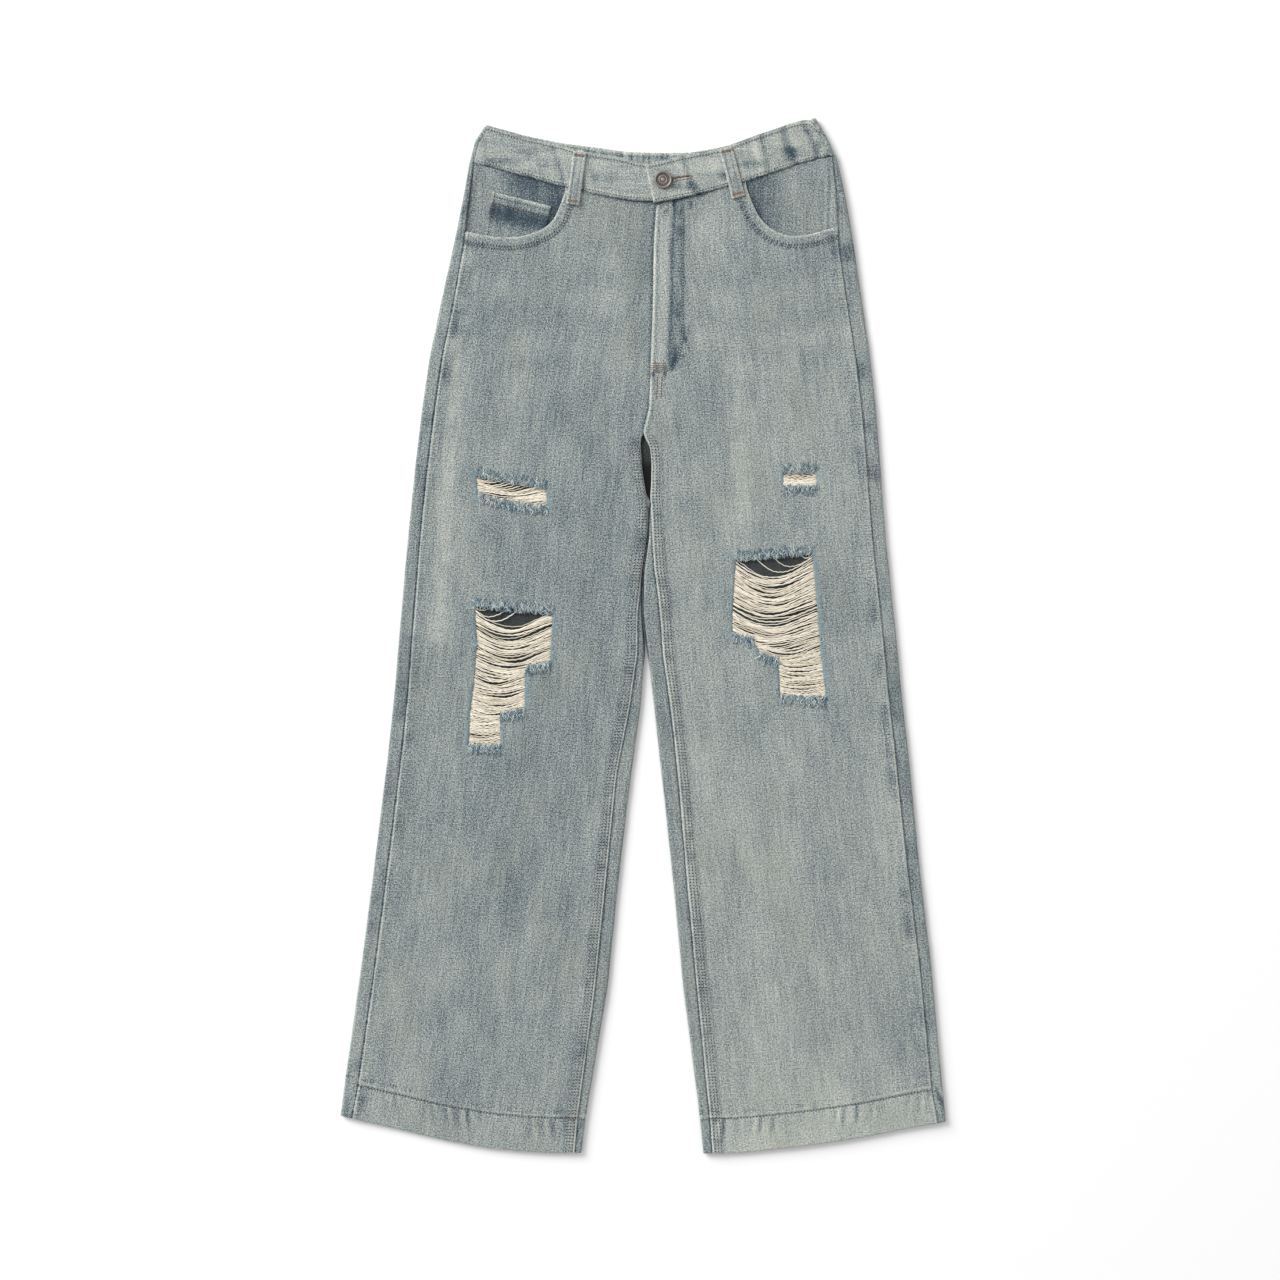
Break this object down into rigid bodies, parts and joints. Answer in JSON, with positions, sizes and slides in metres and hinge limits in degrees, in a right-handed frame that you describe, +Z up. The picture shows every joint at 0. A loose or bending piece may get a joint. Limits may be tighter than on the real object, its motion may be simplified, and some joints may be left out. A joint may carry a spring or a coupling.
{
  "type": "ripped wide-leg jeans laid flat",
  "caption": "Washed grey-blue denim jeans with wide legs, frayed rips at thighs and knees, a buttoned waistband and patch pockets, laid flat front up.",
  "frame": {"origin": "middle of the garment's box, on the surface it lies on", "axes": "+Y up the garment to the waist, +X to the wearer's left, +Z up off the surface"},
  "size_m": [0.6048, 1.0315, 0.0112],
  "materials": {
    "denim": "washed grey-blue denim twill with worn edges",
    "denim_facing": "less worn denim inside the pocket mouths",
    "denim_coin": "darker denim of the coin pocket, worn at its hem",
    "thread": "undyed cotton threads",
    "button_metal": "antiqued, rubbed on its raised rings"
  },
  "bodies": {
    "root": {"front_panel_right": "denim", "front_panel_left": "denim", "back_panel_right": "denim", "back_panel_left": "denim", "back_yoke_right": "denim", "back_yoke_left": "denim", "back_pocket_right": "denim", "back_pocket_left": "denim", "fly_facing": "denim", "waistband_front_right": "denim", "waistband_front_left": "denim", "waistband_back": "denim", "belt_loop_front_right": "denim", "belt_loop_front_left": "denim", "belt_loop_back_right": "denim", "belt_loop_back_centre": "denim", "belt_loop_back_left": "denim", "pocket_facing_right": "denim_facing", "pocket_facing_left": "denim_facing", "coin_pocket": "denim_coin", "rip_threads_thigh_right": "thread", "rip_threads_thigh_left": "thread", "rip_threads_knee_right": "thread", "rip_threads_knee_left": "thread", "waist_button": "button_metal"}
  },
  "joints": []
}
